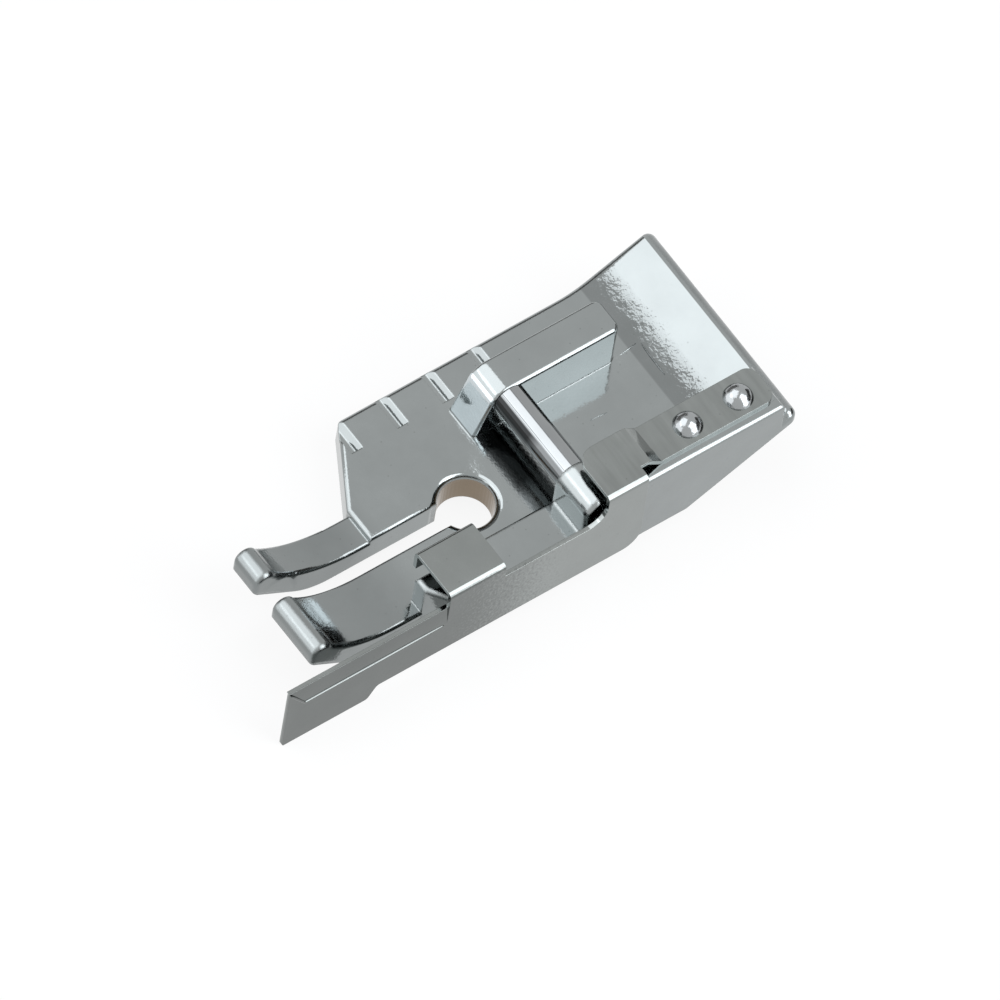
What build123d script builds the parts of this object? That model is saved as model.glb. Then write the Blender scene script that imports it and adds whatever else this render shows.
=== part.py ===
"""Quarter-inch presser foot with a riveted edge guide, in millimetres.

The origin is on the needle's axis at the sole. +X points to the guide, +Y to the rear and +Z up.
"""
import os
from math import cos, radians, sin, tan

from build123d import *

os.makedirs("parts", exist_ok=True)

# Reference size: the guide's outer face is a quarter of an inch from the needle
quarter_inch = 6.35

# Sheet guide
sheet = 0.27
guide_gap = 0.05
bend_radius = 0.38
blade_front = -17.0
blade_drop = 0.95
blade_drop_rear = -11.1
blade_step = 0.6
blade_step_radius = 0.35
blade_corner_radius = 0.15
wall_top = 4.45
wall_rear = 7.7
wall_corner_radius = 1.2
crease_height = 2.7
crease_front = -15.9
band_top = 4.25
band_lean = 4.0
tab_front = -5.95
tab_length = 3.85
tab_top = 5.54
tab_left = 2.8
lip_bottom = 4.1
shelf_front = 4.95
shelf_rise_radius = 1.2
shelf_top = 6.6
shelf_rear = 8.3
shelf_corner_radius = 1.15
joggle_length = 0.9
strap_left = 2.85
strap_right = 5.45
strap_rear = 17.25
strap_corner_radius = 0.7

# Cast plate
base_left = -8.45
plate = 1.9
plate_front = -6.0
corner_cut_rear = -2.9
corner_cut_inner = -3.2
corner_radius = 0.5
edge_round = 0.24

# Needle hole and the slot that opens it to the front
needle_radius = 1.65
slot_left = -0.87
slot_right = 0.65

# Toes
toe_root = -4.6
left_toe_left = -3.1
left_toe_thickness = 1.5
left_toe_rise_start = -6.6
right_toe_right = 4.65
right_toe_rise_start = -8.0
toe_rise_slope = 41.0
toe_valley_radius = 0.9
toe_valley_slope = 60.0
toe_sole_start = -8.6
toe_sole_radius = 4.5
toe_sole_slope = 35.0
nose_front = -14.22
nose_radius = 0.72

# Tail
ramp_sole_start = 11.2
ramp_slope = 24.5
ramp_top_start = 12.2
ramp_top_radius = 5.0
tail_end = 18.6
lip_round = 0.5

# Marks in the left edge, an eighth of an inch apart, one of them level with the needle
mark_pitch = quarter_inch / 2
mark_count = 4
mark_first = -mark_pitch
mark_floor = 0.42
mark_ramp = 0.36
mark_depth = 0.36
mark_reach = 2.3

# Pin for the shank's clip and the cast walls that hold it
pin_radius = 1.0
pin_spigot_radius = 0.7
pin_spigot_length = 1.5
pin_fit = 0.01
pin_y = 5.02
pin_z = 4.4
lug_wall = 0.1
lug_left = 2.8
lug_right = 5.72
lug_round = 0.3
rib_right = -3.3
rib_width = 2.35
rib_front = 2.75
rib_brow = 4.05
rib_rear = 12.75
rib_top = 5.3
rib_brow_radius = 1.3
rib_round = 0.24

# Right rail, the post under the guide's tab and the seat of the strap
rail_height = 2.75
rail_front = -3.4
post_left = 3.65
post_front = -6.4
post_rear = -2.6
post_height = 4.15
post_corner_width = 1.45
post_corner_length = 1.1
seat_height = 5.6
seat_rear = 17.45
seat_round = 0.3

# Rivets
rivet_radius = 0.6
rivet_head_radius = 0.9
rivet_head_height = 0.66
rivet_fit = 0.02
rivet_x = 4.25
rivet_front_y = 11.9
rivet_pitch = 3.5
rivet_recess = 0.1

# Sizes that follow from the ones above
guide_outer = quarter_inch
guide_inner = guide_outer - sheet
base_right = guide_inner - guide_gap
tab_rear = tab_front + tab_length
strap_top = seat_height + sheet
joggle_rear = shelf_rear + joggle_length
lug_radius = pin_radius + lug_wall
rib_left = rib_right - rib_width
seat_front = pin_y + lug_radius - lug_wall
head_top = strap_top + rivet_head_height
ramp_arc_run = ramp_top_radius * sin(radians(ramp_slope))
ramp_arc_rise = ramp_top_radius * (1 - cos(radians(ramp_slope)))
ramp_rise = tan(radians(ramp_slope))
tail_sole = (tail_end - ramp_sole_start) * ramp_rise
tail_top = plate + ramp_arc_rise + (tail_end - ramp_top_start - ramp_arc_run) * ramp_rise
corner_cut_share = (plate_front - post_front) / post_corner_length
corner_cut_right = base_right - post_corner_width * (1 - corner_cut_share)
rivet_places = [(rivet_x, rivet_front_y), (rivet_x, rivet_front_y + rivet_pitch)]


def upper_rim(shape):
    """The edges where faces that look upwards meet upright ones."""
    upward = ShapeList(face for face in shape.faces() if face.normal_at().Z > 0.1)
    upright = ShapeList(face for face in shape.faces() if abs(face.normal_at().Z) < 0.001)
    return upward.edges() & upright.edges()


def toe(left, right, thickness, rise_start):
    """One toe: a side profile with a rolled nose, carried across the toe's width."""
    nose_run = nose_radius * (1 + sin(radians(toe_valley_slope)))
    valley_run = toe_valley_radius * (sin(radians(toe_valley_slope)) - sin(radians(toe_rise_slope)))
    rise_radius = (rise_start - nose_front - nose_run - valley_run) / sin(radians(toe_rise_slope))
    with BuildPart() as block:
        with BuildSketch(Plane.YZ.offset(left)):
            with BuildLine():
                sole = Line((toe_root, 0), (toe_sole_start, 0))
                sole_arc = JernArc(sole @ 1, (-1, 0), toe_sole_radius, -toe_sole_slope)
                sole_end = sole_arc @ 1
                nose_foot = sole_end.Y + (sole_end.X - nose_front) * tan(radians(toe_sole_slope))
                top = Line((toe_root, thickness), (rise_start, thickness))
                rise = JernArc(top @ 1, (-1, 0), rise_radius, -toe_rise_slope)
                valley = JernArc(rise @ 1, rise % 1, toe_valley_radius, toe_rise_slope - toe_valley_slope)
                nose = JernArc(valley @ 1, valley % 1, nose_radius, toe_valley_slope + 90)
                Polyline(nose @ 1, (nose_front, nose_foot), sole_end)
                Line(sole @ 0, top @ 0)
            make_face()
        extrude(amount=right - left)
        fillet(upper_rim(block), edge_round)
    return block.part


def cast_block(x_from, x_to, y_from, y_to, height, rounding):
    """A cast rail that stands in the plate, with its upper edges rounded."""
    with BuildPart() as block:
        with BuildSketch(Plane.XY.offset(plate / 2)):
            with Locations((x_from, y_from)):
                Rectangle(x_to - x_from, y_to - y_from, align=(Align.MIN, Align.MIN))
        extrude(amount=height - plate / 2)
        fillet(upper_rim(block), rounding)
    return block.part


left_toe = toe(left_toe_left, slot_left, left_toe_thickness, left_toe_rise_start)
right_toe = toe(slot_right, right_toe_right, plate, right_toe_rise_start)
rail = cast_block(lug_left, base_right, rail_front, seat_front + edge_round, rail_height, edge_round)
seat = cast_block(lug_left, base_right, seat_front, seat_rear, seat_height, seat_round)

# Post under the guide's tab, its right front corner cut away to clear the blade
with BuildPart() as post:
    with BuildSketch(Plane.XY.offset(plate / 2)):
        with BuildLine():
            Polyline(
                (post_left, post_front),
                (base_right - post_corner_width, post_front),
                (base_right, post_front + post_corner_length),
                (base_right, post_rear),
                (post_left, post_rear),
                close=True,
            )
        make_face()
    extrude(amount=post_height - plate / 2)
    fillet(upper_rim(post), edge_round)

# Left rib: a sloping brow over the pin, then a straight bar to the rear
with BuildPart() as rib:
    with BuildSketch(Plane.YZ.offset(rib_left)) as rib_profile:
        with BuildLine():
            Polyline(
                (rib_front, 0),
                (rib_front, plate),
                (rib_brow, rib_top),
                (rib_rear, rib_top),
                (rib_rear, 0),
                close=True,
            )
        make_face()
        fillet(rib_profile.vertices().group_by(Axis.Y)[-1].sort_by(Axis.X)[0], rib_brow_radius)
    extrude(amount=rib_width)
    fillet(rib.edges().filter_by(Axis.Z).group_by(Axis.Y)[-1], corner_radius)
    fillet(upper_rim(rib), rib_round)

# Right lug, rounded about the pin's axis
with BuildPart() as lug:
    with BuildSketch(Plane.YZ.offset(lug_left)):
        with Locations((pin_y, pin_z)):
            Circle(lug_radius)
        with Locations((pin_y, plate / 2)):
            Rectangle(2 * lug_radius, pin_z - plate / 2, align=(Align.CENTER, Align.MIN))
    extrude(amount=lug_right - lug_left)
    lug_end = lug.faces().filter_by(Axis.X).sort_by(Axis.X)[-1]
    fillet(lug_end.edges().sort_by(Axis.Z)[1:], lug_round)

with BuildPart() as foot_base:
    # Side profile of the plate and of the tail that ramps up behind it
    with BuildSketch(Plane.YZ.offset(base_left)) as profile:
        with BuildLine():
            ramp_arc = JernArc((ramp_top_start, plate), (1, 0), ramp_top_radius, ramp_slope)
            Polyline(
                ramp_arc @ 1,
                (tail_end, tail_top),
                (tail_end, tail_sole),
                (ramp_sole_start, 0),
                (plate_front, 0),
                (plate_front, plate),
                ramp_arc @ 0,
            )
        make_face()
        fillet(profile.vertices().sort_by(Axis.Y)[-1], lip_round)
    extrude(amount=base_right - base_left)

    # Plan: both front corners are cut back
    with BuildSketch(Plane.XY):
        with BuildLine():
            Polyline(
                (base_left, corner_cut_rear),
                (corner_cut_inner, plate_front),
                (base_left, plate_front),
                close=True,
            )
        make_face()
        with BuildLine():
            Polyline(
                (base_right, post_front + post_corner_length),
                (base_right, plate_front),
                (corner_cut_right, plate_front),
                close=True,
            )
        make_face()
    extrude(amount=plate, mode=Mode.SUBTRACT)
    upright = foot_base.edges().filter_by(Axis.Z)
    left_corner = upright.group_by(Axis.X)[0].sort_by(Axis.Y)[0]
    fillet(upright.group_by(Axis.Y)[-1] + [left_corner], corner_radius)

    # Needle hole and slot
    with BuildSketch(Plane.XY):
        Circle(needle_radius)
        with Locations((slot_left, plate_front)):
            Rectangle(slot_right - slot_left, -plate_front, align=(Align.MIN, Align.MIN))
    extrude(amount=plate, mode=Mode.SUBTRACT)
    fillet(upper_rim(foot_base), edge_round)

    # Marks: a flat floor, then a short ramp up to the rear
    with BuildSketch(Plane.YZ.offset(base_left)):
        for i in range(mark_count):
            mark_y = mark_first + i * mark_pitch
            with BuildLine():
                Polyline(
                    (mark_y - mark_floor, plate),
                    (mark_y - mark_floor, plate - mark_depth),
                    (mark_y, plate - mark_depth),
                    (mark_y + mark_ramp, plate),
                    close=True,
                )
            make_face()
    extrude(amount=mark_reach, mode=Mode.SUBTRACT)

    add([left_toe, right_toe, rail, seat, post.part, rib.part, lug.part])

    # The ramp's underside, clear of the blocks above it
    with BuildSketch(Plane.YZ.offset(base_left)):
        with BuildLine():
            Polyline(
                (ramp_sole_start, 0),
                (tail_end, tail_sole),
                (tail_end, -plate),
                (ramp_sole_start, -plate),
                close=True,
            )
        make_face()
    extrude(amount=base_right - base_left, mode=Mode.SUBTRACT)

    # Seats of the pin's spigots, the left one blind and the right one through the lug
    with BuildSketch(Plane.YZ.offset(rib_right - pin_spigot_length)):
        with Locations((pin_y, pin_z)):
            Circle(pin_spigot_radius + pin_fit)
    extrude(amount=lug_right - rib_right + pin_spigot_length, mode=Mode.SUBTRACT)

    # Rivet holes
    with BuildSketch(Plane.XY):
        with Locations(*rivet_places):
            Circle(rivet_radius + rivet_fit)
    extrude(amount=seat_height, mode=Mode.SUBTRACT)
foot_base.part.label = "foot_base"

# Pin between the rib and the lug
with BuildPart() as snap_pin:
    with BuildSketch(Plane.YZ.offset(rib_right)):
        with Locations((pin_y, pin_z)):
            Circle(pin_radius)
    extrude(amount=lug_left - rib_right)
    with BuildSketch(Plane.YZ.offset(rib_right - pin_spigot_length)):
        with Locations((pin_y, pin_z)):
            Circle(pin_spigot_radius)
    extrude(amount=lug_right - lug_round / 2 - rib_right + pin_spigot_length)
snap_pin.part.label = "snap_pin"

# Edge guide, folded from one piece of sheet
with BuildPart() as guide:
    # Band above the crease, leaning in, its front corner cut off along the crease
    lean_shift = (band_top - crease_height) * tan(radians(band_lean))
    with BuildSketch(Plane.XZ.offset(-blade_front)):
        with BuildLine():
            Polyline(
                (guide_inner, crease_height),
                (guide_outer, crease_height),
                (guide_outer - lean_shift, band_top),
                (guide_inner - lean_shift, band_top),
                close=True,
            )
        make_face()
    extrude(amount=blade_front - tab_front)
    with BuildSketch(Plane.YZ.offset(guide_inner - lean_shift)):
        with BuildLine():
            Polyline(
                (blade_front, crease_height),
                (crease_front, crease_height),
                (blade_front, band_top),
                close=True,
            )
        make_face()
    extrude(amount=sheet + lean_shift, mode=Mode.SUBTRACT)

    # Upright wall, with the blade ahead of the toes reaching below the sole
    with BuildSketch(Plane.YZ.offset(guide_inner)) as wall:
        with BuildLine():
            Polyline(
                (blade_front, -blade_drop),
                (blade_drop_rear, -blade_drop),
                (blade_drop_rear + blade_step, 0),
                (wall_rear, 0),
                (wall_rear, shelf_top - bend_radius),
                (shelf_front, shelf_top - bend_radius),
                (shelf_front, wall_top),
                (tab_rear, wall_top),
                (tab_rear, tab_top - bend_radius),
                (tab_front, tab_top - bend_radius),
                (tab_front, crease_height),
                (crease_front, crease_height),
                (blade_front, band_top),
                close=True,
            )
        make_face()
        fillet(wall.vertices().sort_by_distance((wall_rear, 0))[0], wall_corner_radius)
        fillet(wall.vertices().sort_by_distance((shelf_front, wall_top))[0], shelf_rise_radius)
        step = [(blade_drop_rear, -blade_drop), (blade_drop_rear + blade_step, 0)]
        fillet([wall.vertices().sort_by_distance(place)[0] for place in step], blade_step_radius)
        fillet(wall.vertices().sort_by_distance((blade_front, -blade_drop))[0], blade_corner_radius)
    extrude(amount=sheet)

    # Tab over the post, with a lip turned down on its left edge
    with BuildSketch(Plane.XZ.offset(-tab_front)):
        with BuildLine():
            FilletPolyline(
                (tab_left + sheet / 2, lip_bottom),
                (tab_left + sheet / 2, tab_top - sheet / 2),
                (guide_outer - sheet / 2, tab_top - sheet / 2),
                (guide_outer - sheet / 2, tab_top - 2 * bend_radius),
                radius=bend_radius - sheet / 2,
            )
        trace(line_width=sheet)
    extrude(amount=-tab_length)

    # Shelf behind the lug, folded from the wall
    with BuildSketch(Plane.XZ.offset(-wall_rear)):
        with BuildLine():
            FilletPolyline(
                (strap_left, shelf_top - sheet / 2),
                (guide_outer - sheet / 2, shelf_top - sheet / 2),
                (guide_outer - sheet / 2, shelf_top - 2 * bend_radius),
                radius=bend_radius - sheet / 2,
            )
        trace(line_width=sheet)
    extrude(amount=wall_rear - shelf_front)
    on_shelf = guide.edges().filter_by_position(Axis.Z, shelf_top - sheet, shelf_top)
    fillet(on_shelf.filter_by(Axis.Z).sort_by(Axis.X)[0:2].sort_by(Axis.Y)[0], shelf_corner_radius)

    # Joggled strap that lies on the cast seat
    with BuildSketch(Plane.YZ.offset(strap_left)):
        with BuildLine():
            FilletPolyline(
                (wall_rear - sheet, shelf_top - sheet / 2),
                (shelf_rear, shelf_top - sheet / 2),
                (joggle_rear, strap_top - sheet / 2),
                (strap_rear, strap_top - sheet / 2),
                radius=bend_radius,
            )
        trace(line_width=sheet)
    extrude(amount=strap_right - strap_left)
    fillet(guide.edges().filter_by(Axis.Z).group_by(Axis.Y)[-1], strap_corner_radius)

    with BuildSketch(Plane.XY.offset(seat_height)):
        with Locations(*rivet_places):
            Circle(rivet_radius + rivet_fit)
    extrude(amount=2 * sheet, mode=Mode.SUBTRACT)
guide.part.label = "edge_guide"


def rivet(x, y):
    """A domed rivet through the strap, its shank ending just inside the ramp's underside."""
    with BuildPart() as body:
        shank_foot = (y + rivet_radius - ramp_sole_start) * ramp_rise + rivet_recess
        with BuildSketch(Plane.XY.offset(shank_foot)):
            with Locations((x, y)):
                Circle(rivet_radius)
        extrude(amount=strap_top - shank_foot)
        with BuildSketch(Plane.XZ.offset(-y)):
            with BuildLine():
                dome = TangentArc((x, head_top), (x + rivet_head_radius, strap_top), tangent=(1, 0))
                Polyline(dome @ 1, (x, strap_top), dome @ 0)
            make_face()
        revolve(axis=Axis((x, y, 0), (0, 0, 1)))
    return body.part


front_rivet = rivet(*rivet_places[0])
front_rivet.label = "front_rivet"
rear_rivet = rivet(*rivet_places[1])
rear_rivet.label = "rear_rivet"

export_step(foot_base.part, "parts/foot_base.step")
export_step(guide.part, "parts/edge_guide.step")
export_step(snap_pin.part, "parts/snap_pin.step")
export_step(front_rivet, "parts/front_rivet.step")
export_step(rear_rivet, "parts/rear_rivet.step")
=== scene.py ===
"""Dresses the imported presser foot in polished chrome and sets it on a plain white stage."""

import math

import bmesh
import bpy
import numpy as np
from bpy.props import FloatProperty, FloatVectorProperty, PointerProperty
from mathutils import Matrix, Vector


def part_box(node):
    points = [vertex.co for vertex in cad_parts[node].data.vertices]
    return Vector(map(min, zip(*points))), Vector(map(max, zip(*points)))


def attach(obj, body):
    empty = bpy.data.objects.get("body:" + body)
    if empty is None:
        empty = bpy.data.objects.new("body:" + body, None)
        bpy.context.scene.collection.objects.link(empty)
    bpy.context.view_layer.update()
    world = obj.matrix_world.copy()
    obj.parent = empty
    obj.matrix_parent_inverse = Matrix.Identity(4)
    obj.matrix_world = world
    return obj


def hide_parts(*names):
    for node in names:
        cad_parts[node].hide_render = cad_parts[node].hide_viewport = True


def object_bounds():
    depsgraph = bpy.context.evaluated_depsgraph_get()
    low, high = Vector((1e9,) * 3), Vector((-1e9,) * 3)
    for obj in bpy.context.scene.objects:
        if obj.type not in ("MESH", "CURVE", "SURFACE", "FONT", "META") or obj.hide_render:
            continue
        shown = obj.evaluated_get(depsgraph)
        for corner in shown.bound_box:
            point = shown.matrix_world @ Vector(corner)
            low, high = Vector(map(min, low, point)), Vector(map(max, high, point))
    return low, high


bl_info = {
    "name": "Presser Foot Dresser",
    "version": (1, 0, 0),
    "blender": (4, 5, 0),
    "location": "View3D > Sidebar > Presser Foot",
    "description": "Builds the finished surfaces of a quarter-inch presser foot",
    "category": "Object",
}

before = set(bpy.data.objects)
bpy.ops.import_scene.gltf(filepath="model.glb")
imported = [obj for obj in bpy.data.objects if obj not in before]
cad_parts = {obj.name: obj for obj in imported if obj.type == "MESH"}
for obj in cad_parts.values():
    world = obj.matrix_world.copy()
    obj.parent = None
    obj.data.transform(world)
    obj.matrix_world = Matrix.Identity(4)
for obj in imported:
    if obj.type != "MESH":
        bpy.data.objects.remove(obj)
CAD_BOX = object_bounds()
BODY = "root"
MM = 0.001
WHITE = (1.0, 1.0, 1.0, 1.0)

# How near corners of the CAD's triangles are joined, in metres, and the angle past which an edge is sharp
MERGE_DISTANCE = 1e-7
SHARP_DEGREES = 32.0

# The plating's clouds, as spans of their noise and what they do to the colour and to the roughness
CLOUD_SPAN = (0.3, 0.7)
CLOUD_DARK, CLOUD_LIGHT = 0.95, 1.05
ROUGH_SPAN = (0.35, 0.75)
CLOUD_ROUGH = 1.9

# The plating's pits: how far from a cell's middle they fade, how dark they are and how much they show
PIT_SPAN = (0.03, 0.09)
PIT_DARK = 0.5
PIT_SHARE = 0.45

# Rays that each point's softened edge is found with
EDGE_SAMPLES = 6

# What each finish makes of the settings for roughness, wave height, orange peel and edge softness
CAST_SHARES = (1.0, 1.0, 1.0, 1.0)
SHEET_SHARES = (1.2, 0.7, 0.6, 0.25)
PIN_SHARES = (1.0, 0.3, 0.3, 0.3)
RIVET_SHARES = (1.6, 12.0, 3.0, 0.8)

# The ramp's bow: places along y and x and lengths in metres, as the group's docstring uses them
BOW_SIZES = (
    ("Foot", 0.0145), ("Bow", 58.0), ("Arc Start", 0.0122), ("Arc End", 0.01427), ("Arc Radius", 0.005),
    ("Slope", 0.4557), ("Lip", 0.0179), ("Roll", 0.62), ("Rag", 4.5e-5), ("Ragged", 0.0153), ("Narrow", 800.0),
    ("Left", -0.0083), ("Right", 0.0054),
)

# The needle hole's rim: radii in metres, and how steeply the rim falls inside the outer one
RIM_SIZES = (("Outer", 0.00212), ("Fall", 1400.0), ("Wall", 0.00168))

# Fine raised lines on the casting, by their corners in millimetres
CASTING_LINES = (
    ("parting_line", ((-3.40, 12.90, 1.9), (-3.41, 14.15, 2.29))),
    ("plate_scratch", ((-0.77, 9.15, 1.9), (-0.69, 10.27, 1.9))),
    ("foot_scratch", ((-3.21, 14.36, 2.405), (-2.0, 14.32, 2.387), (-0.79, 14.31, 2.382))),
)

# The first two corners of the guide's crease, in millimetres: how far behind the blade's front they are, and
# how far above the crease's height
CREASE_CORNERS = ((0.05, 1.5), (1.17, -0.03))

# How many times rounder some of the casting's edges are, and where they change, in metres
ROUNDER = 3.0
NOSE_REAR = (-0.0126, -0.0121)
LUG_LEFT = (0.0024, 0.0027)
LUG_FOOT = (0.0024, 0.0028)
LUG_REAR = (0.0070, 0.0074)

# Where the casting's tone changes, in metres, and the tones: a painted highlight on the rib's front slope, a
# brown tint in the needle hole, and painted shade at the ramp's foot and on the toes
RIB_SLOPE = (0.0, 0.0040)
RIB_FOOT = 0.00205
RIB_RIGHT = -0.0032
RAMP_PAINTED_SHADE_FROM = (0.01362, 0.01372)
RAMP_PAINTED_SHADE_TO = (0.0150, 0.0158)
RAMP_PAINTED_SHADE_ACROSS = (-0.0083, 0.003)
TOE_REAR = (-0.0075, -0.0050)
PLAIN_TONE = (1.0, 1.0, 1.0)
RIB_PAINTED_HIGHLIGHT = (2.0, 2.02, 2.08)
BROWN_TONE = (0.80, 0.60, 0.45)
RAMP_PAINTED_SHADE = 0.74
TOE_PAINTED_SHADE = 0.80

# The guide's tones: the painted reflection along its outer wall, the tone on its top, and the streaks brushed
# across the shelf and strap
WALL_PAINTED_REFLECTION = (("Start", -0.0052), ("End", 0.0022), ("Low", 0.57), ("High", 1.04), ("Rag", 0.012))
OUTER_DEPTH = 0.00015
TOP_TONE = 0.91
STREAK_SHAPE = (0.12, 1.0, 0.12)
STREAK_SPAN = (0.3, 0.7)
STREAK_TONE = 0.065
SHELF_FRONT = (0.0044, 0.0050)

# The pin's painted highlights, thin painted reflection lines and painted shade by degrees from its top towards
# its front, and where along x the front's painted shade is lighter, in metres
PIN_PAINTED_LIGHT = (
    (-90, 0.55), (-66, 0.85), (2, 0.85), (3, 0.35), (5, 0.35), (6, 0.95), (31, 1.0), (32, 0.30), (34, 0.30),
    (35, 0.75), (41, 0.70), (43, 0.10), (150, 0.10),
)
PIN_PAINTED_SHADE_FADE = (-0.0006, 0.0006)
PIN_PAINTED_SHADE_LIFT = 0.45

# The floor, in millimetres: how far it reaches each way and how far it is below the foot's lowest edge
FLOOR_REACH = 900.0
FLOOR_GAP = 0.01

# How far the lamps and the cards stand from the needle's axis, in metres, and the lamps' colour
LAMP_DISTANCE = 0.40
CARD_DISTANCE = 0.45
LAMP_COLOUR = (0.96, 0.985, 1.02)

# Soft lamps that face the foot: direction, width, height in metres and the setting with their radiance
LAMPS = (
    ("Front wall", (-0.36, -0.85, 0.38), 0.50, 0.39, "front_strength"),
    ("Front roof", (-0.41, -0.30, 0.954), 0.42, 0.33, "key_strength"),
    ("Side wall", (0.86, 0.36, 0.24), 0.26, 0.36, "side_strength"),
    ("Side roof", (0.52, 0.36, 0.78), 0.26, 0.34, "side_strength"),
)

# Upright cards that only the metal sees: direction, width, height in metres and colour
CARDS = (
    ("Rear card", (0.35, 1.0, 0.0), 0.62, 0.26, (0.085, 0.080, 0.075)),
    ("Left card", (-1.0, 0.15, 0.0), 0.50, 0.26, (0.30, 0.29, 0.28)),
)

# The photograph's view: azimuth, elevation and roll in degrees, the pixel of the needle's axis in a square
# picture, and how far off the camera stands in metres
VIEW_ANGLES = (46.293, 57.141, 9.821)
NEEDLE_PIXEL = (463.2, 521.1)
PICTURE_PIXELS = 1000
CAMERA_DISTANCE = 0.2


# Settings


class FOOT_PG_finish(bpy.types.PropertyGroup):
    """Colours and polish of the plated surfaces, and sizes of their fine lines."""

    cast_colour: FloatVectorProperty(
        name="Cast chrome",
        description="Colour of the plating on the cast sole",
        subtype="COLOR",
        size=3,
        min=0,
        max=1,
        default=(0.288, 0.309, 0.309),
    )
    sheet_colour: FloatVectorProperty(
        name="Sheet chrome",
        description="Colour of the plating on the folded guide",
        subtype="COLOR",
        size=3,
        min=0,
        max=1,
        default=(0.272, 0.290, 0.284),
    )
    pin_colour: FloatVectorProperty(
        name="Pin steel",
        description="Colour of the polished pin and of the rivets",
        subtype="COLOR",
        size=3,
        min=0,
        max=1,
        default=(0.330, 0.345, 0.350),
    )
    roughness: FloatProperty(
        name="Roughness",
        description="Roughness of the cleanest plating",
        subtype="FACTOR",
        min=0,
        max=1,
        default=0.07,
    )
    wave: FloatProperty(
        name="Wave height",
        description="Height of the slow waves in the plating",
        subtype="DISTANCE",
        unit="LENGTH",
        min=0,
        max=0.001,
        precision=6,
        default=0.00001,
    )
    peel: FloatProperty(
        name="Orange peel",
        description="Height of the fine orange peel in the plating",
        subtype="DISTANCE",
        unit="LENGTH",
        min=0,
        max=0.001,
        precision=6,
        default=0.000004,
    )
    edge: FloatProperty(
        name="Edge softness",
        description="Radius that the plating rounds the edges to",
        subtype="DISTANCE",
        unit="LENGTH",
        min=0,
        max=0.001,
        precision=6,
        default=0.00012,
    )
    flash_radius: FloatProperty(
        name="Flash radius",
        description="Radius of the fine casting lines, in millimetres",
        min=0,
        max=1,
        default=0.045,
    )
    crease_height: FloatProperty(
        name="Crease height",
        description="Height of the guide's crease above the sole, in millimetres",
        min=0,
        max=10,
        default=2.7,
    )
    crease_rear: FloatProperty(
        name="Crease rear end",
        description="Where the guide's crease ends behind the tab's front edge, in millimetres",
        min=-20,
        max=20,
        default=-6.15,
    )
    crease_radius: FloatProperty(
        name="Crease radius",
        description="Radius of the pressed line, in millimetres",
        min=0,
        max=1,
        default=0.11,
    )


class FOOT_PG_stage(bpy.types.PropertyGroup):
    """The floor, the sky and the soft lamps."""

    floor_colour: FloatVectorProperty(
        name="Floor",
        description="Colour of the plain floor",
        subtype="COLOR",
        size=3,
        min=0,
        max=1,
        default=(0.95, 0.95, 0.95),
    )
    shadow_fade: FloatProperty(
        name="Shadow fade",
        description="How far the floor's shadow is lost in its white",
        subtype="FACTOR",
        min=0,
        max=1,
        default=0.88,
    )
    sky_strength: FloatProperty(
        name="Sky",
        description="How much the sky lights the scene",
        min=0,
        max=2,
        default=0.22,
    )
    key_strength: FloatProperty(
        name="Roof lamp",
        description="Radiance of the soft lamp over the foot",
        min=0,
        max=20,
        default=1.8,
    )
    front_strength: FloatProperty(
        name="Front lamp",
        description="Radiance of the soft lamp ahead of the foot",
        min=0,
        max=20,
        default=1.3,
    )
    side_strength: FloatProperty(
        name="Side lamps",
        description="Radiance of the soft lamps on the guide's side",
        min=0,
        max=20,
        default=3.1,
    )
    view_width: FloatProperty(
        name="View width",
        description="Width that the camera takes in",
        subtype="DISTANCE",
        unit="LENGTH",
        min=0.01,
        max=1,
        default=0.05635,
    )


# Helpers


def only(obj, material):
    """Gives an object one material."""
    obj.data.materials.clear()
    obj.data.materials.append(material)


def link(obj):
    """Links a new object to the scene and makes it ride on the foot."""
    bpy.context.scene.collection.objects.link(obj)
    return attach(obj, BODY)


def surface(name, points, closed_v=False):
    """A mesh from an (m, n, 3) array of points in millimetres, one quad between each four neighbours."""
    m, n = points.shape[:2]
    index = np.arange(m * n).reshape(m, n)
    if closed_v:
        index = np.hstack([index, index[:, :1]])
    corners = (index[:-1, :-1], index[1:, :-1], index[1:, 1:], index[:-1, 1:])
    quads = np.stack(corners, axis=-1).reshape(-1, 4)
    mesh = bpy.data.meshes.new(name)
    mesh.from_pydata((points.reshape(-1, 3) * MM).tolist(), [], quads.tolist())
    mesh.validate()
    mesh.shade_smooth()
    return bpy.data.objects.new(name, mesh)


def bead(name, corners, radius, out, steps=160, sides=12, sunk=0.25):
    """A low half-round bead along a line of corners: a circle carried along the line.

    The rings stand square to the line and to the direction out of the surface, sunk by a quarter of the
    radius, and the radius shrinks to nothing at both ends as the fourth root of a parabola.
    """
    corners = np.array(corners)
    out = np.array(out)
    far = np.concatenate([[0.0], np.cumsum(np.linalg.norm(np.diff(corners, axis=0), axis=1))])
    t = np.linspace(0.0, 1.0, steps)
    path = np.stack([np.interp(t * far[-1], far, corners[:, axis]) for axis in range(3)], axis=-1)
    ahead = np.gradient(path, axis=0)
    ahead /= np.linalg.norm(ahead, axis=1, keepdims=True)
    side = np.cross(ahead, out)
    radii = radius * np.clip(4.0 * t * (1.0 - t), 0.0, 1.0) ** 0.25
    turn = np.linspace(0.0, 2.0 * np.pi, sides + 1)[:-1]
    away = np.cos(turn)[None, :, None] * side[:, None, :] + (np.sin(turn) - sunk)[None, :, None] * out
    return surface(name, path[:, None, :] + radii[:, None, None] * away, closed_v=True)


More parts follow.
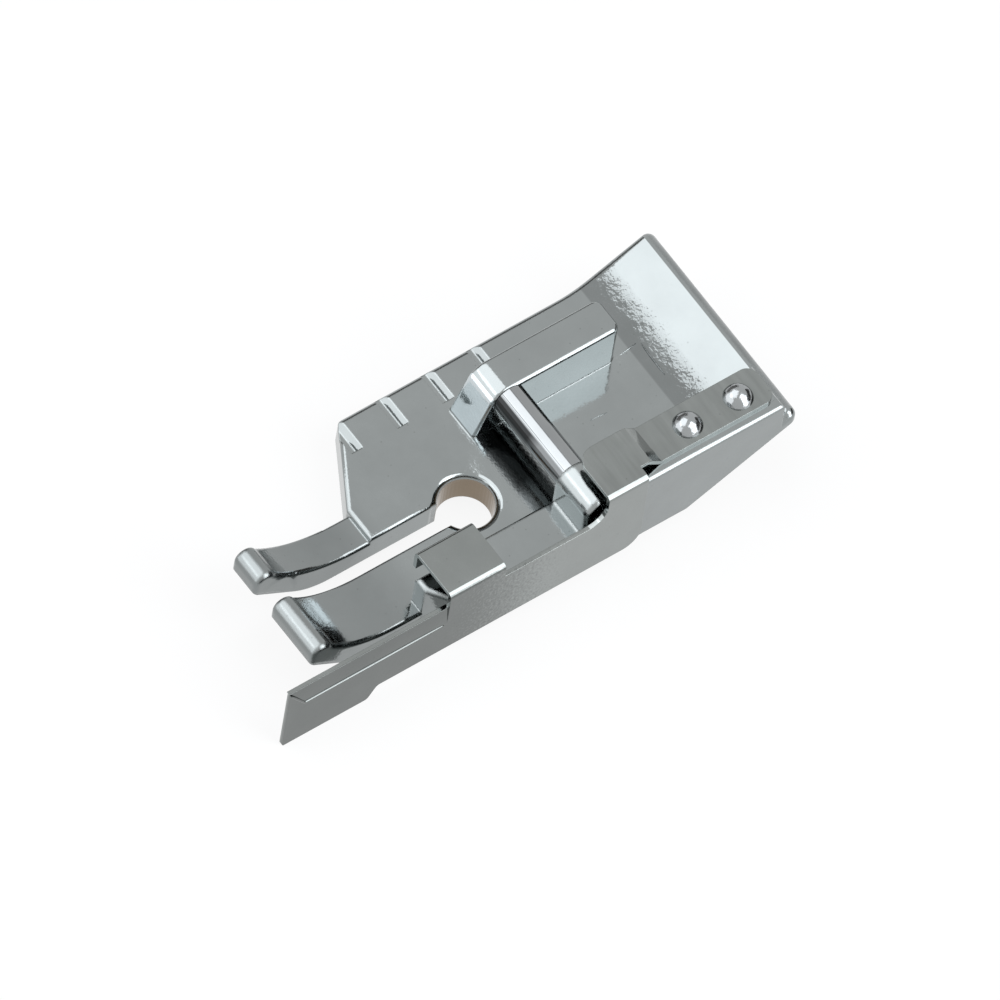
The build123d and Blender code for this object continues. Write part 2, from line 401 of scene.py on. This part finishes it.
def merged_copy(node, name):
    """A copy of a CAD node with its triangles joined, smooth within each face and sharp across corners."""
    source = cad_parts[node]
    mesh = source.data.copy()
    mesh.name = name
    obj = bpy.data.objects.new(name, mesh)
    work = bmesh.new()
    work.from_mesh(mesh)
    bmesh.ops.remove_doubles(work, verts=work.verts, dist=MERGE_DISTANCE)
    work.to_mesh(mesh)
    work.free()
    if mesh.has_custom_normals:
        mesh.attributes.remove(mesh.attributes["custom_normal"])
    mesh.shade_smooth()
    mesh.set_sharp_from_angle(angle=math.radians(SHARP_DEGREES))
    weigh = obj.modifiers.new("Weighted normals", "WEIGHTED_NORMAL")
    weigh.keep_sharp = True
    weigh.weight = 100
    link(obj)
    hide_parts(node)
    return obj


# Shader nodes


def node(tree, kind, place, **values):
    """Adds a shader node at a place in the tree and sets its plain properties and inputs."""
    made = tree.nodes.new(kind)
    made.location = place
    for key, value in values.items():
        if key in made.inputs:
            made.inputs[key].default_value = value
        else:
            setattr(made, key, value)
    return made


def sums(tree, operation, place, *values):
    """A Math node whose inputs are sockets or plain numbers; gives back its output."""
    made = node(tree, "ShaderNodeMath", place, operation=operation)
    for entry, value in zip(made.inputs, values):
        if isinstance(value, (int, float)):
            entry.default_value = value
        else:
            tree.links.new(value, entry)
    return made.outputs[0]


def product(tree, place, first, *others):
    """Sockets or plain numbers multiplied one after another, in a row of Math nodes."""
    for step, value in enumerate(others):
        first = sums(tree, "MULTIPLY", (place[0] + 80 * step, place[1]), first, value)
    return first


def between(tree, place, value, low, high):
    """1 where a value lies between two limits, and 0 elsewhere."""
    above = sums(tree, "GREATER_THAN", place, value, low)
    below = sums(tree, "LESS_THAN", (place[0], place[1] - 60), value, high)
    return product(tree, (place[0] + 100, place[1]), above, below)


def ranged(tree, place, value, span, low, high):
    """Runs evenly from low to high while a value crosses a span; gives back the output."""
    made = node(tree, "ShaderNodeMapRange", place)
    for name, number in (("From Min", span[0]), ("From Max", span[1]), ("To Min", low), ("To Max", high)):
        made.inputs[name].default_value = number
    tree.links.new(value, made.inputs["Value"])
    return made.outputs["Result"]


def noise(tree, place, position, scale, detail, roughness):
    """A noise from 0 to 1 at a position, its scale in waves to the metre."""
    made = node(tree, "ShaderNodeTexNoise", place, Scale=scale, Detail=detail, Roughness=roughness)
    tree.links.new(position, made.inputs["Vector"])
    return made.outputs["Fac"]


def axes(tree, place, position):
    """The x, y and z of a position."""
    apart = node(tree, "ShaderNodeSeparateXYZ", place)
    tree.links.new(position, apart.inputs[0])
    return tuple(apart.outputs)


def scaled(tree, place, value, by):
    """A colour or a position times a socket or three plain numbers."""
    made = node(tree, "ShaderNodeVectorMath", place, operation="MULTIPLY")
    tree.links.new(value, made.inputs[0])
    if isinstance(by, tuple):
        made.inputs[1].default_value = by
    else:
        tree.links.new(by, made.inputs[1])
    return made.outputs["Vector"]


def mixed(tree, place, share, first, second):
    """From the first colour to the second by a share; each is a socket or three plain numbers."""
    made = node(tree, "ShaderNodeMix", place, data_type="RGBA")
    tree.links.new(share, made.inputs[0])
    for entry, colour in ((made.inputs[6], first), (made.inputs[7], second)):
        if isinstance(colour, tuple):
            entry.default_value = (*colour, 1.0)
        else:
            tree.links.new(colour, entry)
    return made.outputs[2]


def placed(tree, place, shared, position, values=()):
    """Adds a shared group's node, reading a position, with its own values."""
    made = node(tree, "ShaderNodeGroup", place, node_tree=shared)
    for name, value in values:
        made.inputs[name].default_value = value
    tree.links.new(position, made.inputs["Position"])
    return made


def seen_rays(tree):
    """1 for a ray from the lens, a mirror or glass, and 0 for one that only carries light."""
    path = node(tree, "ShaderNodeLightPath", (-400, 0))
    first = sums(tree, "MAXIMUM", (-150, 100), path.outputs["Is Camera Ray"], path.outputs["Is Glossy Ray"])
    return sums(tree, "MAXIMUM", (0, 0), first, path.outputs["Is Transmission Ray"])


# Shared shader groups


def new_group(name, inputs, outputs):
    """A shader group that takes a position and named numbers, and its two end nodes."""
    tree = bpy.data.node_groups.new(name, "ShaderNodeTree")
    tree.interface.new_socket("Position", in_out="INPUT", socket_type="NodeSocketVector")
    for key, value in inputs:
        made = tree.interface.new_socket(key, in_out="INPUT", socket_type="NodeSocketFloat")
        made.default_value = value
    for key in outputs:
        tree.interface.new_socket(key, in_out="OUTPUT", socket_type="NodeSocketFloat")
    return tree, node(tree, "NodeGroupInput", (-1500, 0)), node(tree, "NodeGroupOutput", (700, 0))


def plating_group():
    """Polished plating over a casting: slow waves, orange peel, clouds in the polish and tiny pits.

    The height is the sum of two noises, each times its own height in metres.
    The cloud is a broad noise, and the pits are the middles of the cells of a Voronoi pattern.
    """
    if "Plating" in bpy.data.node_groups:
        return bpy.data.node_groups["Plating"]
    heights = (("Wave Height", 0.0), ("Peel Height", 0.0))
    tree, give, take = new_group("Plating", heights, ("Height", "Cloud", "Pits"))
    position = give.outputs["Position"]
    wave = noise(tree, (-500, 250), position, scale=420.0, detail=1.0, roughness=0.4)
    peel = noise(tree, (-500, 0), position, scale=5600.0, detail=1.0, roughness=0.5)
    cloud = noise(tree, (-500, -250), position, scale=260.0, detail=4.0, roughness=0.6)
    cells = node(tree, "ShaderNodeTexVoronoi", (-500, -500), Scale=1500.0)
    tree.links.new(position, cells.inputs["Vector"])
    waves = sums(tree, "MULTIPLY", (-200, 250), wave, give.outputs["Wave Height"])
    height = sums(tree, "MULTIPLY_ADD", (0, 150), peel, give.outputs["Peel Height"], waves)
    pits = ranged(tree, (-200, -500), cells.outputs["Distance"], PIT_SPAN, 1.0, 0.0)
    for value, name in ((height, "Height"), (cloud, "Cloud"), (pits, "Pits")):
        tree.links.new(value, take.inputs[name])
    return tree


def bow_group():
    """The hand-polished bow of the tail's ramp, as a height in metres to add to the solid's.

    The wanted height is a parabola that starts at the ramp's foot. The solid's is an arc, its radius less the
    root of the radius squared less the run squared, with a straight slope after it. The height is the first
    less the second, less roll times what y goes past the lip's start, plus a noise. The noise is times one
    less the square of narrow times the distance from where the ramp turns ragged, and never below nothing.
    All of it is nothing outside left and right.
    """
    if "Ramp bow" in bpy.data.node_groups:
        return bpy.data.node_groups["Ramp bow"]
    tree, give, take = new_group("Ramp bow", BOW_SIZES, ("Height",))
    size = give.outputs
    x, y, _ = axes(tree, (-1200, 100), size["Position"])

    def past(start, place):
        """What y goes past a start, or nothing."""
        return sums(tree, "MAXIMUM", place, sums(tree, "SUBTRACT", place, y, size[start]), 0.0)

    far = past("Foot", (-600, 200))
    wanted = product(tree, (-400, 200), far, far, size["Bow"])
    reach = sums(tree, "SUBTRACT", (-600, -50), size["Arc End"], size["Arc Start"])
    run = sums(tree, "MINIMUM", (-500, 0), past("Arc Start", (-600, 0)), reach)
    radius = size["Arc Radius"]
    squares = (product(tree, (-400, -50), radius, radius), product(tree, (-400, 0), run, run))
    root = sums(tree, "SQRT", (-280, 0), sums(tree, "SUBTRACT", (-350, 0), *squares))
    arc = sums(tree, "SUBTRACT", (-200, 0), radius, root)
    straight = product(tree, (-200, -200), past("Arc End", (-600, -200)), size["Slope"])
    rolled = product(tree, (-200, -400), past("Lip", (-600, -400)), size["Roll"])
    solid = sums(tree, "ADD", (0, -100), sums(tree, "ADD", (-100, -50), arc, straight), rolled)

    uneven = noise(tree, (-1200, -200), size["Position"], scale=1700.0, detail=3.0, roughness=0.6)
    even = sums(tree, "SUBTRACT", (-1000, -200), uneven, 0.5)
    behind = sums(tree, "SUBTRACT", (-1000, -350), y, size["Ragged"])
    off = product(tree, (-900, -350), behind, size["Narrow"])
    fade = sums(tree, "SUBTRACT", (-700, -350), 1.0, product(tree, (-800, -350), off, off))
    rag = product(tree, (-500, -350), even, size["Rag"], sums(tree, "MAXIMUM", (-600, -350), fade, 0.0))

    height = sums(tree, "ADD", (200, 100), sums(tree, "SUBTRACT", (100, 100), wanted, solid), rag)
    across = between(tree, (0, -300), x, size["Left"], size["Right"])
    tree.links.new(product(tree, (400, 100), height, across), take.inputs["Height"])
    return tree


def rim_group():
    """The rounded rim of the needle hole, as a height in metres, and a mask of the hole's wall.

    The height falls as the square of how far a point is inside the rim's outer radius, times its fall.
    """
    if "Hole rim" in bpy.data.node_groups:
        return bpy.data.node_groups["Hole rim"]
    tree, give, take = new_group("Hole rim", RIM_SIZES, ("Height", "Inside"))
    far = node(tree, "ShaderNodeVectorMath", (-500, 0), operation="LENGTH")
    tree.links.new(scaled(tree, (-700, 0), give.outputs["Position"], (1.0, 1.0, 0.0)), far.inputs[0])
    away = far.outputs["Value"]
    short = sums(tree, "SUBTRACT", (-300, 100), give.outputs["Outer"], away)
    inside = sums(tree, "MAXIMUM", (-200, 100), short, 0.0)
    height = product(tree, (-100, 100), inside, inside, give.outputs["Fall"], -1.0)
    wall = sums(tree, "LESS_THAN", (0, -100), away, give.outputs["Wall"])
    tree.links.new(height, take.inputs["Height"])
    tree.links.new(wall, take.inputs["Inside"])
    return tree


def tone_group():
    """A painted reflection: a tone that goes from low to high along the foot, from start to end, with a ragged
    edge.

    The place along the foot is y plus rag times a noise, and the step over it is a smooth one.
    """
    if "Painted reflection along" in bpy.data.node_groups:
        return bpy.data.node_groups["Painted reflection along"]
    tree, give, take = new_group("Painted reflection along", WALL_PAINTED_REFLECTION, ("Tone",))
    y = axes(tree, (-600, 100), give.outputs["Position"])[1]
    grain = noise(tree, (-600, -200), give.outputs["Position"], scale=5200.0, detail=2.0, roughness=0.6)
    even = sums(tree, "SUBTRACT", (-400, -200), grain, 0.5)
    step = node(tree, "ShaderNodeMapRange", (100, 0), interpolation_type="SMOOTHSTEP")
    where = sums(tree, "MULTIPLY_ADD", (-200, 0), even, give.outputs["Rag"], y)
    tree.links.new(where, step.inputs["Value"])
    for name, entry in (("Start", "From Min"), ("End", "From Max"), ("Low", "To Min"), ("High", "To Max")):
        tree.links.new(give.outputs[name], step.inputs[entry])
    tree.links.new(step.outputs["Result"], take.inputs["Tone"])
    return tree


def chrome(name, colour, look, shares, relief=None, tone=None):
    """Polished plating: a metal with slow waves, orange peel, soft edges, a faint cloud and tiny dark pits.

    The shares scale the settings' roughness, wave, peel and edge. From the tree and its object coordinates,
    tone gives the socket that scales the colour over the surface, and relief the heights to add to the
    plating's and the radius that the edges are softened to.
    """
    sizes = (look.roughness, look.wave, look.peel, look.edge)
    roughness, wave, peel, edge = (size * share for size, share in zip(sizes, shares))
    material = bpy.data.materials.new(name)
    material.use_nodes = True
    tree = material.node_tree
    tree.nodes.clear()
    out = node(tree, "ShaderNodeOutputMaterial", (700, 0))
    metal = node(tree, "ShaderNodeBsdfPrincipled", (350, 0), Metallic=1.0)
    tree.links.new(metal.outputs["BSDF"], out.inputs["Surface"])
    where = node(tree, "ShaderNodeTexCoord", (-900, 0)).outputs["Object"]
    heights = (("Wave Height", wave), ("Peel Height", peel))
    plating = placed(tree, (-650, 0), plating_group(), where, heights)
    cloud = plating.outputs["Cloud"]

    tones = (CLOUD_DARK, CLOUD_LIGHT, PIT_DARK)
    dark, light, pit = (tuple(part * tone_share for part in colour) for tone_share in tones)
    tint = mixed(tree, (-100, 350), ranged(tree, (-350, 350), cloud, CLOUD_SPAN, 0.0, 1.0), dark, light)
    pits = sums(tree, "MULTIPLY", (-100, 120), plating.outputs["Pits"], PIT_SHARE)
    shaded = mixed(tree, (120, 300), pits, tint, pit)
    if tone:
        shaded = scaled(tree, (250, 300), shaded, tone(tree, where))
    tree.links.new(shaded, metal.inputs["Base Color"])
    rough = ranged(tree, (-100, -100), cloud, ROUGH_SPAN, roughness, roughness * CLOUD_ROUGH)
    tree.links.new(rough, metal.inputs["Roughness"])

    height = plating.outputs["Height"]
    soft = node(tree, "ShaderNodeBevel", (-100, -500), samples=EDGE_SAMPLES, Radius=edge)
    if relief:
        extras, radius = relief(tree, where, edge)
        for extra in extras:
            height = sums(tree, "ADD", (-100, -350), height, extra)
        tree.links.new(radius, soft.inputs["Radius"])
    bump = node(tree, "ShaderNodeBump", (100, -300), Strength=1.0, Distance=1.0)
    tree.links.new(height, bump.inputs["Height"])
    tree.links.new(soft.outputs["Normal"], bump.inputs["Normal"])
    tree.links.new(bump.outputs["Normal"], metal.inputs["Normal"])
    return material


# Pieces


class FOOT_OT_cast_base(bpy.types.Operator):
    """Dress the cast sole, its rib, lug and rails"""

    bl_idname = "foot.cast_base"
    bl_label = "Cast Sole"

    def execute(self, context):
        look = context.scene.foot_finish
        plated = chrome("Cast chrome", look.cast_colour, look, CAST_SHARES, relief=self.relief, tone=self.tone)
        only(merged_copy("foot_base", "cast_sole"), plated)
        for name, corners in CASTING_LINES:
            only(link(bead(name, corners, look.flash_radius, (0.0, 0.0, 1.0))), plated)
        return {"FINISHED"}

    def relief(self, tree, where, edge):
        """The ramp's bow and the hole's rim, and edges that are rounder on the two noses and on the lug."""
        bow = placed(tree, (-650, -350), bow_group(), where)
        rim = placed(tree, (-650, -500), rim_group(), where)
        x, y, z = axes(tree, (-650, -700), where)
        rounder = edge * ROUNDER
        noses = ranged(tree, (-350, -700), y, NOSE_REAR, rounder, edge)
        right = ranged(tree, (-350, -900), x, LUG_LEFT, 0.0, 1.0)
        above = ranged(tree, (-350, -1100), z, LUG_FOOT, 0.0, 1.0)
        ahead = ranged(tree, (-350, -1300), y, LUG_REAR, rounder, 0.0)
        lug = product(tree, (-150, -1000), right, above, ahead)
        heights = (bow.outputs["Height"], rim.outputs["Height"])
        return heights, sums(tree, "MAXIMUM", (50, -800), noses, lug)

    def tone(self, tree, where):
        """The tone over the casting, one place after another.

        A painted highlight on the rib's front slope, brown lacquer in the needle hole, and painted shade at
        the ramp's foot and on the toes.
        """
        x, y, z = axes(tree, (-900, 800), where)
        # Painted highlight: the rib's front slope has its colour doubled, standing in for a brighter
        # reflection
        along = between(tree, (-700, 850), y, *RIB_SLOPE)
        above = sums(tree, "GREATER_THAN", (-700, 700), z, RIB_FOOT)
        left = sums(tree, "LESS_THAN", (-700, 600), x, RIB_RIGHT)
        slope = product(tree, (-450, 800), along, above, left)
        painted_lift = mixed(tree, (-250, 700), slope, PLAIN_TONE, RIB_PAINTED_HIGHLIGHT)
        rim = placed(tree, (-650, 500), rim_group(), where)
        brown = mixed(tree, (-100, 700), rim.outputs["Inside"], painted_lift, BROWN_TONE)
        # Painted shade: a darker band across the ramp's foot, standing in for a darker reflection
        falls = ranged(tree, (-500, 350), y, RAMP_PAINTED_SHADE_FROM, 1.0, RAMP_PAINTED_SHADE)
        rises = ranged(tree, (-500, 250), y, RAMP_PAINTED_SHADE_TO, RAMP_PAINTED_SHADE, 1.0)
        foot = sums(tree, "MAXIMUM", (-300, 300), falls, rises)
        across = between(tree, (-500, 150), x, *RAMP_PAINTED_SHADE_ACROSS)
        less = sums(tree, "SUBTRACT", (-200, 300), foot, 1.0)
        ramp_painted_shade = sums(tree, "MULTIPLY_ADD", (-100, 300), less, across, 1.0)
        # Painted shade: the toes are darker towards the front
        toes = ranged(tree, (50, 300), y, TOE_REAR, TOE_PAINTED_SHADE, 1.0)
        return scaled(tree, (200, 500), scaled(tree, (50, 500), brown, ramp_painted_shade), toes)


class FOOT_OT_edge_guide(bpy.types.Operator):
    """Dress the folded sheet guide"""

    bl_idname = "foot.edge_guide"
    bl_label = "Edge Guide"

    def execute(self, context):
        look = context.scene.foot_finish
        plated = chrome("Sheet chrome", look.sheet_colour, look, SHEET_SHARES, tone=self.tone)
        only(merged_copy("edge_guide", "folded_guide"), plated)
        only(link(self.crease(look)), plated)
        return {"FINISHED"}

    def tone(self, tree, where):
        """Painted reflection outside: darker ahead of the tab and lighter behind it, with a speckled edge
        between.

        On top it is even, with brushed streaks across the shelf and the strap.
        """
        x, y, _ = axes(tree, (-900, 800), where)
        outer_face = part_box("edge_guide")[1][0] - OUTER_DEPTH
        outer = sums(tree, "GREATER_THAN", (-650, 800), x, outer_face)
        # Painted reflection: the outer wall is darker ahead of the tab and lighter behind it
        wall = placed(tree, (-650, 600), tone_group(), where).outputs["Tone"]
        less = sums(tree, "SUBTRACT", (-450, 600), wall, TOP_TONE)
        even = sums(tree, "MULTIPLY_ADD", (-250, 700), outer, less, TOP_TONE)
        drawn = scaled(tree, (-900, 1000), where, STREAK_SHAPE)
        grain = noise(tree, (-650, 1000), drawn, scale=2400.0, detail=2.0, roughness=0.5)
        streaks = ranged(tree, (-450, 1000), grain, STREAK_SPAN, -STREAK_TONE, STREAK_TONE)
        shelf = ranged(tree, (-450, 1250), y, SHELF_FRONT, 0.0, 1.0)
        inner = product(tree, (-250, 1100), shelf, sums(tree, "SUBTRACT", (-350, 1150), 1.0, outer))
        return sums(tree, "MULTIPLY_ADD", (0, 900), streaks, inner, even)

    def crease(self, look):
        """The pressed line of the guide's crease, down from the front corner and then straight back."""
        low, high = (np.array(corner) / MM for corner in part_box("edge_guide"))
        bends = ((high[0], low[1] + back, look.crease_height + rise) for back, rise in CREASE_CORNERS)
        corners = (*bends, (high[0], look.crease_rear, look.crease_height))
        return bead("guide_crease", corners, look.crease_radius, (1.0, 0.0, 0.0))


class FOOT_OT_snap_pin(bpy.types.Operator):
    """Dress the pin that the shank clips on to"""

    bl_idname = "foot.snap_pin"
    bl_label = "Shank Pin"

    def execute(self, context):
        look = context.scene.foot_finish
        steel = chrome("Pin steel", look.pin_colour, look, PIN_SHARES, tone=self.tone)
        only(merged_copy("snap_pin", "round_pin"), steel)
        return {"FINISHED"}

    def tone(self, tree, where):
        """Painted highlights along its top and painted shade along its front, with thin painted reflection
        lines, by the angle round the pin's axis.
        """
        low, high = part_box("snap_pin")
        x, y, z = axes(tree, (-900, 700), where)
        ahead = sums(tree, "SUBTRACT", (-700, 750), (low[1] + high[1]) / 2, y)
        above = sums(tree, "SUBTRACT", (-700, 600), z, (low[2] + high[2]) / 2)
        angle = sums(tree, "ARCTAN2", (-500, 700), ahead, above)
        # Painted highlights, thin painted reflection lines and painted shade, by the angle round the pin's
        # axis
        ramp = node(tree, "ShaderNodeValToRGB", (-150, 700))
        while len(ramp.color_ramp.elements) < len(PIN_PAINTED_LIGHT):
            ramp.color_ramp.elements.new(0.5)
        for element, (degrees, value) in zip(ramp.color_ramp.elements, PIN_PAINTED_LIGHT):
            element.position = (degrees + 180) / 360
            element.color = (value, value, value, 1.0)
        share = ranged(tree, (-350, 700), angle, (-math.pi, math.pi), 0.0, 1.0)
        tree.links.new(share, ramp.inputs["Fac"])
        # The painted shade on the pin's front is lighter towards the lug
        painted_lift = ranged(tree, (-150, 950), x, PIN_PAINTED_SHADE_FADE, 0.0, PIN_PAINTED_SHADE_LIFT)
        return sums(tree, "MAXIMUM", (150, 800), ramp.outputs["Color"], painted_lift)


class FOOT_OT_rivets(bpy.types.Operator):
    """Dress the two domed rivets"""

    bl_idname = "foot.rivets"
    bl_label = "Rivets"

    def execute(self, context):
        look = context.scene.foot_finish
        steel = chrome("Rivet steel", look.pin_colour, look, RIVET_SHARES)
        for cad in ("front_rivet", "rear_rivet"):
            only(merged_copy(cad, cad + "_dome"), steel)
        return {"FINISHED"}


class FOOT_OT_stage(bpy.types.Operator):
    """Build the floor, the sky, the soft lamps and the camera"""

    bl_idname = "foot.stage"
    bl_label = "Stage"

    def execute(self, context):
        scene = context.scene
        look = scene.foot_stage
        self.floor(look, CAD_BOX[0].z / MM - FLOOR_GAP)
        self.sky(look)
        for name, towards, width, height, radiance in LAMPS:
            self.lamp(name, towards, width, height, getattr(look, radiance))
        for name, towards, width, height, grey in CARDS:
            self.card(name, towards, width, height, grey)
        self.camera(scene, look)
        scene.view_settings.view_transform = "Standard"
        return {"FINISHED"}

    def floor(self, look, height):
        """A flat square under the foot's lowest edge that keeps its shadow and is white to the lens."""
        side = np.linspace(-FLOOR_REACH, FLOOR_REACH, 3)
        x, y = np.meshgrid(side, side, indexing="ij")
        plane = surface("floor", np.stack([x, y, np.full_like(x, height)], axis=-1))
        bpy.context.scene.collection.objects.link(plane)
        material = bpy.data.materials.new("Floor")
        material.use_nodes = True
        tree = material.node_tree
        tree.nodes.clear()
        out = node(tree, "ShaderNodeOutputMaterial", (600, 0))
        mix = node(tree, "ShaderNodeMixShader", (400, 0))
        matt = node(tree, "ShaderNodeBsdfDiffuse", (150, 100), Color=(*look.floor_colour, 1.0))
        white = node(tree, "ShaderNodeEmission", (150, -100), Color=WHITE, Strength=1.0)
        faint = sums(tree, "MULTIPLY", (150, 250), seen_rays(tree), look.shadow_fade)
        for value, entry in ((faint, 0), (matt.outputs[0], 1), (white.outputs[0], 2)):
            tree.links.new(value, mix.inputs[entry])
        tree.links.new(mix.outputs[0], out.inputs["Surface"])
        plane.data.materials.append(material)

    def sky(self, look):
        """White wherever the lens or the metal sees it, and dimmer as a lamp."""
        world = bpy.context.scene.world or bpy.data.worlds.new("Sky")
        bpy.context.scene.world = world
        world.use_nodes = True
        tree = world.node_tree
        tree.nodes.clear()
        out = node(tree, "ShaderNodeOutputWorld", (600, 0))
        mix = node(tree, "ShaderNodeMixShader", (400, 0))
        lit = node(tree, "ShaderNodeBackground", (150, 100), Color=WHITE, Strength=look.sky_strength)
        seen = node(tree, "ShaderNodeBackground", (150, -100), Color=WHITE, Strength=1.0)
        for value, entry in ((seen_rays(tree), 0), (lit.outputs[0], 1), (seen.outputs[0], 2)):
            tree.links.new(value, mix.inputs[entry])
        tree.links.new(mix.outputs[0], out.inputs["Surface"])

    def lamp(self, name, towards, width, height, radiance):
        """A rectangular soft lamp of an even radiance that faces the foot from a direction."""
        towards = Vector(towards).normalized()
        light = bpy.data.lights.new(name, "AREA")
        light.shape = "RECTANGLE"
        light.size = width
        light.size_y = height
        light.color = LAMP_COLOUR
        light.energy = radiance * math.pi * width * height
        obj = bpy.data.objects.new(name, light)
        obj.location = towards * LAMP_DISTANCE
        obj.rotation_euler = (-towards).to_track_quat("-Z", "Y").to_euler()
        obj.visible_camera = False
        bpy.context.scene.collection.objects.link(obj)

    def card(self, name, towards, width, height, grey):
        """An upright card that only the metal reflects: a flat grid, width across and height up."""
        towards = np.array(towards) / np.linalg.norm(towards)
        across = np.array((-towards[1], towards[0], 0.0))
        u, v = np.meshgrid(np.linspace(-0.5, 0.5, 3), np.linspace(0.0, 1.0, 3), indexing="ij")
        rise = height * np.array((0.0, 0.0, 1.0))
        places = towards * CARD_DISTANCE + u[..., None] * width * across + v[..., None] * rise
        obj = surface(name.lower().replace(" ", "_"), places / MM)
        obj.visible_camera = False
        obj.visible_diffuse = False
        obj.visible_shadow = False
        bpy.context.scene.collection.objects.link(obj)
        material = bpy.data.materials.new(name)
        material.use_nodes = True
        matt = material.node_tree.nodes["Principled BSDF"]
        matt.inputs["Base Color"].default_value = (*grey, 1.0)
        matt.inputs["Roughness"].default_value = 1.0
        obj.data.materials.append(material)

    def camera(self, scene, look):
        """A long lens as the photograph has it, as good as parallel."""
        azimuth, elevation, roll = (math.radians(v) for v in VIEW_ANGLES)
        level = Vector((-math.sin(azimuth), math.cos(azimuth), 0))
        ahead = level * math.cos(elevation) - Vector((0, 0, math.sin(elevation)))
        right = Vector((math.cos(azimuth), math.sin(azimuth), 0))
        up = right.cross(ahead)
        turned_right = math.cos(roll) * right + math.sin(roll) * up
        turned_up = -math.sin(roll) * right + math.cos(roll) * up
        lens = bpy.data.cameras.new("Camera")
        lens.type = "ORTHO"
        lens.ortho_scale = look.view_width
        lens.clip_start = 0.001
        lens.clip_end = 5.0
        obj = bpy.data.objects.new("Camera", lens)
        per_pixel = look.view_width / PICTURE_PIXELS
        off_x, off_y = ((PICTURE_PIXELS / 2 - pixel) * per_pixel for pixel in NEEDLE_PIXEL)
        target = turned_right * off_x - turned_up * off_y
        place = Matrix((turned_right, turned_up, -ahead)).transposed().to_4x4()
        place.translation = target - ahead * CAMERA_DISTANCE
        obj.matrix_world = place
        scene.collection.objects.link(obj)
        scene.camera = obj


OPERATORS = (
    FOOT_OT_cast_base,
    FOOT_OT_edge_guide,
    FOOT_OT_snap_pin,
    FOOT_OT_rivets,
    FOOT_OT_stage,
)


class FOOT_PT_panel(bpy.types.Panel):
    """Lists the pieces of the foot in the order they are built"""

    bl_idname = "FOOT_PT_panel"
    bl_label = "Presser Foot"
    bl_space_type = "VIEW_3D"
    bl_region_type = "UI"
    bl_category = "Presser Foot"

    def draw(self, context):
        column = self.layout.column()
        for operator in OPERATORS:
            column.operator(operator.bl_idname)
        for settings in (context.scene.foot_finish, context.scene.foot_stage):
            for name in settings.__annotations__:
                column.prop(settings, name)


CLASSES = (FOOT_PG_finish, FOOT_PG_stage, *OPERATORS, FOOT_PT_panel)


def register():
    for cls in CLASSES:
        bpy.utils.register_class(cls)
    bpy.types.Scene.foot_finish = PointerProperty(type=FOOT_PG_finish)
    bpy.types.Scene.foot_stage = PointerProperty(type=FOOT_PG_stage)


def unregister():
    del bpy.types.Scene.foot_stage
    del bpy.types.Scene.foot_finish
    for cls in reversed(CLASSES):
        bpy.utils.unregister_class(cls)


def main():
    """Builds every piece and the stage."""
    register()
    bpy.ops.foot.cast_base()
    bpy.ops.foot.edge_guide()
    bpy.ops.foot.snap_pin()
    bpy.ops.foot.rivets()
    bpy.ops.foot.stage()


if __name__ == "__main__":
    main()
